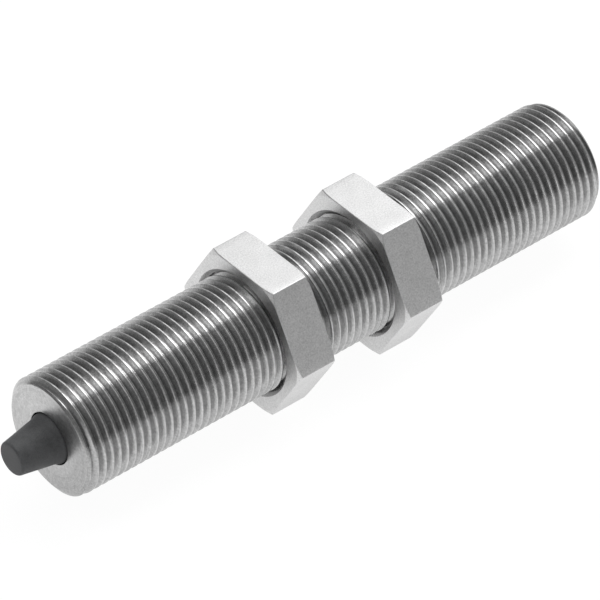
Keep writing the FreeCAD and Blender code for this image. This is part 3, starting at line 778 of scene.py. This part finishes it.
# A squeezed O-ring: its section is a circle pressed flat on its sides.
for node, name in (("guide_oring", "guide_o_ring"), ("plug_oring", "plug_o_ring")):
    low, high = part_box(node)
    middle = Vector(((low.x + high.x) / 2, (high.z + o_ring_bore_radius) / 2))
    half = Vector(((high.x - low.x) / 2, high.z - middle.y))
    o_ring_outline = []
    for step in range(o_ring_points):
        angle = -math.tau * step / o_ring_points
        along = math.copysign(abs(math.cos(angle)) ** o_ring_squeeze, math.cos(angle))
        away = math.copysign(abs(math.sin(angle)) ** o_ring_squeeze, math.sin(angle))
        o_ring_outline.append((middle.x + half.x * along, middle.y + half.y * away))
    turned_piece(
        name, o_ring_outline, seal_rubber, "housing", node, sharp_degrees=80
    )


# Accumulator foam.
# A sleeve of grey closed-cell foam, cut to length and slipped over the guide's neck. The cut
# cells show on its faces as small pits, which painted shade darkens.

foam_bore_radius = 3.45 * mm
foam_edge = 0.1 * mm

foam_material, surface = shader("closed_cell_foam", Roughness=0.9, Specular_IOR_Level=0.2)
tree = foam_material.node_tree
cells = tree.nodes.new("ShaderNodeTexVoronoi")
cells.inputs["Scale"].default_value = 3.2 / mm
link(tree, object_place(tree), cells.inputs["Vector"])
pit_depth_and_shade = ramp(tree, cells.outputs["Distance"], 0.55, 1.2, from_low=0.1, from_high=0.6)
# The pits are bumped in, and painted shade darkens their colour.
link(tree, grey(tree, pit_depth_and_shade, (0.12, 0.12, 0.13)), surface.inputs["Base Color"])
bumped(tree, pit_depth_and_shade, surface, strength=0.8, distance=0.06 * mm)
turned_ring(
    "foam_sleeve", foam_bore_radius, foam_edge, foam_material, "housing", "accumulator_foam"
)


# Guide, pressure tube, piston and its nut, check ring and spring seat.
# The guide is turned from bronze bar, the others are hardened and ground steel with a dull sheen
# of oil. The first four keep their CAD shapes, with their slots and metering holes.

check_bore_radius = 3.35 * mm
check_edge = 0.05 * mm
seat_bore_radius = 1.2 * mm
seat_chamfer = 0.15 * mm

bronze = turned_steel(
    "turned_bronze", (0.60, 0.42, 0.20), roughness=0.30, cuts=7.0, depth=0.008 * mm
)
inner_steel = turned_steel(
    "ground_inner_steel", (0.50, 0.50, 0.52), roughness=0.24, cuts=16.0, depth=0.003 * mm
)
for node, material in (("rod_guide", bronze), ("pressure_tube", inner_steel),
                       ("piston", inner_steel), ("piston_nut", inner_steel)):
    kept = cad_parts[node]
    kept.data.materials.clear()
    kept.data.materials.append(material)
turned_ring(
    "floating_check_ring", check_bore_radius, check_edge, inner_steel, "check_ring_body",
    "check_ring",
)
seat_low, seat_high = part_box("spring_seat")
seat_outline = [
    (seat_low.x, seat_bore_radius),
    (seat_low.x, seat_high.z - seat_chamfer),
    (seat_low.x + seat_chamfer, seat_high.z),
    (seat_high.x, seat_high.z),
    (seat_high.x, seat_bore_radius),
]
turned_piece("seat_washer", seat_outline, inner_steel, "housing", "spring_seat")


# Return spring.
# Nine turns of oiled spring wire between the piston and its seat, the end turns closed.

spring_low, spring_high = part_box("return_spring")
wire_radius = 0.3 * mm
wire_sides = 12
spring_turns = 9
spring_steps = 48
close_pitch = 0.63 * mm
coil_radius = 3.35 * mm


def spring_tree():
    """Geometry Nodes that bend a line into the coil and give it the wire's round section."""
    lengths = ("Coil Radius", "Wire Radius", "Front", "Close Pitch", "Open Pitch")
    tree, inputs, given = new_tree("closed_end_spring", lengths, ("Turns", "Steps"))
    line = tree.nodes.new("GeometryNodeMeshLine")
    points = calc(tree, "MULTIPLY_ADD", given["Turns"], given["Steps"], 1.0)
    link(tree, points, line.inputs["Count"])
    index = tree.nodes.new("GeometryNodeInputIndex").outputs[0]
    turn = calc(tree, "DIVIDE", index, given["Steps"])
    angle = calc(tree, "MULTIPLY", turn, math.tau)
    # One turn at each end is closed, and the turns between them are open.
    most = calc(tree, "SUBTRACT", given["Turns"], 2.0)
    opened = calc(tree, "MAXIMUM", calc(tree, "SUBTRACT", turn, 1.0), 0.0)
    opened = calc(tree, "MINIMUM", opened, most)
    closed = calc(tree, "SUBTRACT", turn, opened)
    along = calc(tree, "MULTIPLY_ADD", closed, given["Close Pitch"], given["Front"])
    along = calc(tree, "MULTIPLY_ADD", opened, given["Open Pitch"], along)
    path = tree.nodes.new("GeometryNodeMeshToCurve")
    coiled = set_round(tree, line.outputs[0], along, given["Coil Radius"], angle)
    link(tree, coiled, path.inputs[0])
    section = tree.nodes.new("GeometryNodeCurvePrimitiveCircle")
    section.inputs["Resolution"].default_value = wire_sides
    link(tree, given["Wire Radius"], section.inputs["Radius"])
    wire = tree.nodes.new("GeometryNodeCurveToMesh")
    link(tree, path.outputs[0], wire.inputs["Curve"])
    link(tree, section.outputs[0], wire.inputs["Profile Curve"])
    wire.inputs["Fill Caps"].default_value = True
    end_tree(tree, wire.outputs[0], given["Material"])
    return tree, inputs


spring_steel = moulded(
    "oiled_spring_wire", (0.30, 0.30, 0.31), roughness=0.30, speckle=0.05, metallic=1.0
)
spring_nodes, spring_inputs = spring_tree()
open_length = spring_high.x - spring_low.x - 2 * wire_radius - 2 * close_pitch
coil = grown("coil", spring_nodes, spring_inputs, {
    "Coil Radius": coil_radius,
    "Wire Radius": wire_radius,
    "Front": spring_low.x + wire_radius,
    "Close Pitch": close_pitch,
    "Open Pitch": open_length / (spring_turns - 2),
    "Turns": spring_turns,
    "Steps": spring_steps,
    "Material": spring_steel,
})
spring = joined("coil_spring", [coil], spring_steel, sharp_degrees=60)
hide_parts("return_spring")
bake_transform(spring)


# Rear plug, filling screw and ball.
# The plug is turned from steel bar, with a broached hexagon socket that shows in the open rear
# end. A small socket screw presses the ball on the filling hole, at the floor of the socket.

plug_low, plug_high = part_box("rear_plug")
plug_radius = plug_high.z
plug_chamfer = 0.15 * mm
plug_nose_radius = 4.05 * mm
plug_nose_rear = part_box("pressure_tube")[1].x
plug_ring_low, plug_ring_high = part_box("plug_oring")
plug_ring_slack = 0.2 * mm
plug_groove_radius = 4.45 * mm
plug_groove_front = plug_ring_low.x - plug_ring_slack
plug_groove_rear = plug_ring_high.x + plug_ring_slack
fill_hole_radius = 0.6 * mm
screw_hole_radius = 1.25 * mm
screw_hole_front = 61.2 * mm
socket_flats = 6.0 * mm
socket_floor = 65.8 * mm
socket_mouth = (plug_high.x - 0.35 * mm, 3.61 * mm)
screw_front = 63.3 * mm
screw_rear = 65.6 * mm
screw_radius = 1.15 * mm
screw_chamfer = 0.15 * mm
screw_flats = 1.3 * mm
screw_floor = 64.5 * mm
screw_mouth = (screw_rear - 0.1 * mm, 0.8 * mm)
ball_steps = 24


def hexagon_radius(flats, angle):
    """How far a hexagon with flats to +Z and -Z reaches at an angle from +Y."""
    off_side = (angle - half_side) % (2 * half_side)
    off_side = min(off_side, 2 * half_side - off_side)
    return flats / 2 / math.cos(off_side)


def socket_piece(name, outline, flats, mouth, inside, material, node):
    """A turned piece with a hexagon socket from the rear. Its outline ends on the rear face, the
    mouth is (x, radius) of the cone that opens the socket, and the inside goes on from the
    socket's floor."""
    rear = outline[-1][0]
    mouth_x, mouth_radius = mouth
    places, faces = [], []
    for step in range(steps_around):
        angle = math.tau * step / steps_around
        side = hexagon_radius(flats, angle)
        share = (side - flats / 2) / (mouth_radius - flats / 2)
        edge = mouth_x + (rear - mouth_x) * share
        meridian = outline + [(rear, mouth_radius), (edge, side), (inside[0][0], side)] + inside
        for x, r in meridian:
            places.append(Vector((x, r * math.cos(angle), r * math.sin(angle))))
        count = len(meridian)
        here = step * count
        there = (step + 1) % steps_around * count
        for spot in range(count):
            after = (spot + 1) % count
            faces.append((here + spot, there + spot, there + after, here + after))
    piece = joined(name, [mesh_of(name, places, faces)], material, sharp_degrees=25)
    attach(piece, "housing")
    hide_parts(node)


plug_steel = turned_steel(
    "turned_plug_steel", (0.55, 0.55, 0.56), roughness=0.26, cuts=8.0, depth=0.008 * mm
)
plug_outline = [
    (plug_low.x, fill_hole_radius),
    (plug_low.x, plug_nose_radius - plug_chamfer),
    (plug_low.x + plug_chamfer, plug_nose_radius),
    (plug_nose_rear, plug_nose_radius),
    (plug_nose_rear, plug_radius - plug_chamfer),
    (plug_nose_rear + plug_chamfer, plug_radius),
    (plug_groove_front, plug_radius),
    (plug_groove_front, plug_groove_radius),
    (plug_groove_rear, plug_groove_radius),
    (plug_groove_rear, plug_radius),
    (plug_high.x - plug_chamfer, plug_radius),
    (plug_high.x, plug_radius - plug_chamfer),
]
plug_inside = [
    (socket_floor, screw_hole_radius),
    (screw_hole_front, screw_hole_radius),
    (screw_hole_front, fill_hole_radius),
]
socket_piece("socketed_plug", plug_outline, socket_flats, socket_mouth, plug_inside, plug_steel,
             "rear_plug")
screw_outline = [
    (screw_front, 0.0),
    (screw_front, screw_radius - screw_chamfer),
    (screw_front + screw_chamfer, screw_radius),
    (screw_rear - screw_chamfer, screw_radius),
    (screw_rear, screw_radius - screw_chamfer),
]
socket_piece("filling_screw", screw_outline, screw_flats, screw_mouth, [(screw_floor, 0.0)],
             inner_steel, "fill_screw")
ball_low, ball_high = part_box("fill_ball")
ball_middle = (ball_low.x + ball_high.x) / 2
ball_radius = ball_high.z
ball_outline = []
for step in range(ball_steps + 1):
    angle = math.pi * step / ball_steps
    spot = (ball_middle + ball_radius * math.cos(angle), ball_radius * math.sin(angle))
    ball_outline.append(spot)
turned_piece(
    "filling_ball", ball_outline, chrome, "housing", "fill_ball", sharp_degrees=60
)


# Snap ring.
# Blanked from spring steel and left dark from hardening. It sits in the barrel's groove behind
# the plug, with two lugs that have holes for the pliers. Its flat outline is in millimetres.

ring_outer = 5.85
ring_inner = 4.90
ring_half_opening = 1.5
ring_edge = 0.06
lug_radius = 1.1
lug_hole_radius = 0.5
lug_hole_points = 24
lug_reach = ring_outer - lug_radius
lug_y = ring_half_opening + lug_radius
lug_z = math.sqrt(lug_reach**2 - lug_y**2)


def arc(centre, radius, first, last, steps):
    """Points round a centre in the YZ plane, from one angle to another, in degrees from +Y."""
    found = []
    for step in range(steps + 1):
        angle = math.radians(first + (last - first) * step / steps)
        y = centre[0] + radius * math.cos(angle)
        z = centre[1] + radius * math.sin(angle)
        found.append((y, z))
    return found


opening = 90 - math.degrees(math.asin(ring_half_opening / ring_outer))
cosine = (lug_reach**2 + ring_inner**2 - lug_radius**2) / (2 * lug_reach * ring_inner)
lug_turn = math.degrees(math.atan2(lug_z, lug_y))
meet = lug_turn - math.degrees(math.acos(cosine))
meet_y = ring_inner * math.cos(math.radians(meet))
meet_z = ring_inner * math.sin(math.radians(meet))
meet_round_lug = math.degrees(math.atan2(meet_z - lug_z, meet_y - lug_y))
half_ring = arc((lug_y, lug_z), lug_radius, -180, meet_round_lug, steps=16)
ring_points = arc((0, 0), ring_outer, opening, -180 - opening, steps=90)
ring_points += [(-y, z) for y, z in half_ring]
ring_points += arc((0, 0), ring_inner, -180 - meet, meet, steps=80)[1:-1]
ring_points += half_ring[::-1]
loops = [ring_points]
for side in (1, -1):
    hole = arc((side * lug_y, lug_z), lug_hole_radius, 0, 360, steps=lug_hole_points)
    loops.append(hole[:-1])
flat = bpy.data.curves.new("ring_outline", "CURVE")
flat.dimensions = "2D"
flat.fill_mode = "BOTH"
for loop in loops:
    spline = flat.splines.new("POLY")
    spline.points.add(len(loop) - 1)
    for point, (y, z) in zip(spline.points, loop):
        point.co = (y, z, 0.0, 1.0)
    spline.use_cyclic_u = True
flat.extrude = (ring_high.x - ring_low.x) / 2 / mm - ring_edge
flat.bevel_depth = ring_edge
flat.bevel_resolution = 0
flat.offset = -ring_edge
blank = bpy.data.objects.new("ring_blank", flat)
bpy.context.scene.collection.objects.link(blank)
depsgraph = bpy.context.evaluated_depsgraph_get()
ring_mesh = bpy.data.meshes.new_from_object(blank.evaluated_get(depsgraph), depsgraph=depsgraph)
bpy.data.objects.remove(blank)
ring_middle = (ring_low.x + ring_high.x) / 2
for vertex in ring_mesh.vertices:
    y, z, x = vertex.co
    vertex.co = (ring_middle + x * mm, y * mm, z * mm)
ring_steel = turned_steel(
    "hardened_ring_steel", (0.16, 0.155, 0.15), roughness=0.35, cuts=3.0, depth=0.004 * mm
)
ring = joined("retaining_ring", [ring_mesh], ring_steel, sharp_degrees=30)
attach(ring, "housing")
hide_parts("snap_ring")


# Studio.
# A pale floor that the nuts rest on, four level softboxes overhead, and a dim room with three
# soft patches of light. The front edge of the boxes gives the thread its crisp highlights.

floor_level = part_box("front_lock_nut")[0].z
floor_reach = 2.0
floor_brightness = 1.06
floor_glow = 0.90
near_glow = 1.12
far_glow = 0.33
under_shadow_share = 0.76
glow_start = 10 * mm
barrel_middle = (barrel_front.x + barrel_rear.x) / 2

floor_corners = [
    Vector((x * floor_reach, y * floor_reach, floor_level))
    for x, y in ((-1, -1), (1, -1), (1, 1), (-1, 1))
]
floor_mesh = mesh_of("floor", floor_corners, [(0, 1, 2, 3)])
floor_paint, surface = shader("pale_floor", Roughness=0.9, Base_Color=(0.9, 0.9, 0.9, 1.0))
tree = floor_paint.node_tree
parts = tree.nodes.new("ShaderNodeSeparateXYZ")
link(tree, object_place(tree), parts.inputs[0])
# Mirrored in the steel, the floor glows with painted light, bright near the object and darker far
# away from it, with a painted shadow straight under it.
past_end = calc(tree, "ABSOLUTE", calc(tree, "SUBTRACT", parts.outputs[0], barrel_middle))
past_end = calc(tree, "MAXIMUM", calc(tree, "SUBTRACT", past_end, barrel_length / 2), 0.0)
behind = calc(tree, "SUBTRACT", parts.outputs[1], glow_start)
squares = calc(tree, "MULTIPLY", behind, behind)
squares = calc(tree, "MULTIPLY_ADD", past_end, past_end, squares)
away = calc(tree, "SQRT", squares)
beside = calc(tree, "ABSOLUTE", parts.outputs[1])
far = ramp(tree, away, near_glow, far_glow, from_low=25 * mm, from_high=160 * mm)
# Painted shadow: the floor's mirrored glow is dimmed straight under the object.
under_shadow = ramp(tree, beside, under_shadow_share, 1.0, from_low=1 * mm, from_high=8 * mm)
mirrored = calc(tree, "MULTIPLY", far, under_shadow)
path = tree.nodes.new("ShaderNodeLightPath").outputs
through = calc(tree, "MAXIMUM", path["Is Glossy Ray"], path["Is Transmission Ray"])
strength = calc(tree, "MULTIPLY", path["Is Camera Ray"], floor_brightness)
strength = calc(tree, "MULTIPLY_ADD", through, mirrored, strength)
glow = tree.nodes.new("ShaderNodeEmission")
link(tree, strength, glow.inputs["Strength"])
blend = tree.nodes.new("ShaderNodeMixShader")
seen = calc(tree, "MAXIMUM", path["Is Camera Ray"], through)
link(tree, calc(tree, "MULTIPLY", seen, floor_glow), blend.inputs[0])
link(tree, surface.outputs[0], blend.inputs[1])
link(tree, glow.outputs[0], blend.inputs[2])
link(tree, blend.outputs[0], tree.nodes["Material Output"].inputs["Surface"])
floor_mesh.materials.append(floor_paint)
floor = bpy.data.objects.new("floor", floor_mesh)
bpy.context.scene.collection.objects.link(floor)

# Each softbox in metres, as its name, its middle's distance from the barrel's middle and from
# the front edge of the boxes, its width and its depth, and then its brightness.
box_front = -0.06
box_height = 0.50
softboxes = [
    ("softbox_front", 0.43, 0.105, 0.66, 0.21, 3.0),
    ("softbox_middle", 0.56, 0.285, 0.60, 0.15, 1.5),
    ("softbox_rear", 0.55, 0.49, 0.60, 0.26, 0.85),
    ("softbox_left", -0.20, 0.18, 0.40, 0.36, 1.2),
]
for name, along, back, width, depth, brightness in softboxes:
    light = bpy.data.lights.new(name, "AREA")
    light.shape = "RECTANGLE"
    light.size = width
    light.size_y = depth
    light.energy = brightness * math.pi * width * depth
    holder = bpy.data.objects.new(name, light)
    holder.location = (barrel_middle + along, box_front + back, box_height)
    bpy.context.scene.collection.objects.link(holder)

# Each patch of the room as the direction of its middle, the cosines at its edge and where it is
# full, and its brightness: a wall at the rear end, and two above the barrel.
room_level = 0.24
room_patches = [
    ((0.95, 0.20, 0.10), 0.10, 0.85, 0.52),
    ((0.50, -0.27, 0.82), 0.93, 1.0, 0.16),
    ((-0.10, 0.10, 1.0), 0.86, 0.98, 0.45),
]
world = bpy.data.worlds.new("studio")
world.use_nodes = True
bpy.context.scene.world = world
tree = world.node_tree
direction = tree.nodes.new("ShaderNodeTexCoord").outputs["Generated"]
level = room_level
for toward, edge_cosine, full_cosine, brightness in room_patches:
    aim = tree.nodes.new("ShaderNodeVectorMath")
    aim.operation = "DOT_PRODUCT"
    link(tree, direction, aim.inputs[0])
    aim.inputs[1].default_value = Vector(toward).normalized()
    patch = ramp(tree, aim.outputs["Value"], 0.0, brightness, edge_cosine, full_cosine)
    patch.node.interpolation_type = "SMOOTHSTEP"
    level = calc(tree, "ADD", patch, level)
path = tree.nodes.new("ShaderNodeLightPath").outputs
level = calc(tree, "MAXIMUM", level, path["Is Camera Ray"])
link(tree, grey(tree, level), tree.nodes["Background"].inputs["Color"])
tree.nodes["Background"].inputs["Strength"].default_value = 1.0


# Camera.
# A long lens from the front left, 41 degrees above the floor and rolled by half a degree. Its
# angle, distance and focal length are those of the photograph, whose frame is square.

azimuth = math.radians(-40.80)
elevation = math.radians(40.73)
roll = math.radians(0.576)
distance = 608.5 * mm
aim_along = 34.33 * mm
aim_up = 0.07 * mm
image_size = 600
focal_pixels = 5685

back = Vector((
    math.sin(azimuth) * math.cos(elevation),
    -math.cos(azimuth) * math.cos(elevation),
    math.sin(elevation),
))
level_right = Vector((math.cos(azimuth), math.sin(azimuth), 0.0))
level_up = back.cross(level_right)
right = math.cos(roll) * level_right + math.sin(roll) * level_up
up = math.cos(roll) * level_up - math.sin(roll) * level_right
camera_data = bpy.data.cameras.new("camera")
camera_data.sensor_width = 36.0
camera_data.lens = focal_pixels / image_size * camera_data.sensor_width
camera_data.clip_start = 0.05
camera_data.clip_end = 20.0
camera = bpy.data.objects.new("camera", camera_data)
eye = Vector((aim_along, 0.0, 0.0)) + up * aim_up + back * distance
turned = Matrix((right, up, back)).transposed()
camera.matrix_world = Matrix.Translation(eye) @ turned.to_4x4()
bpy.context.scene.collection.objects.link(camera)
bpy.context.scene.camera = camera
bpy.context.scene.view_settings.view_transform = "Standard"
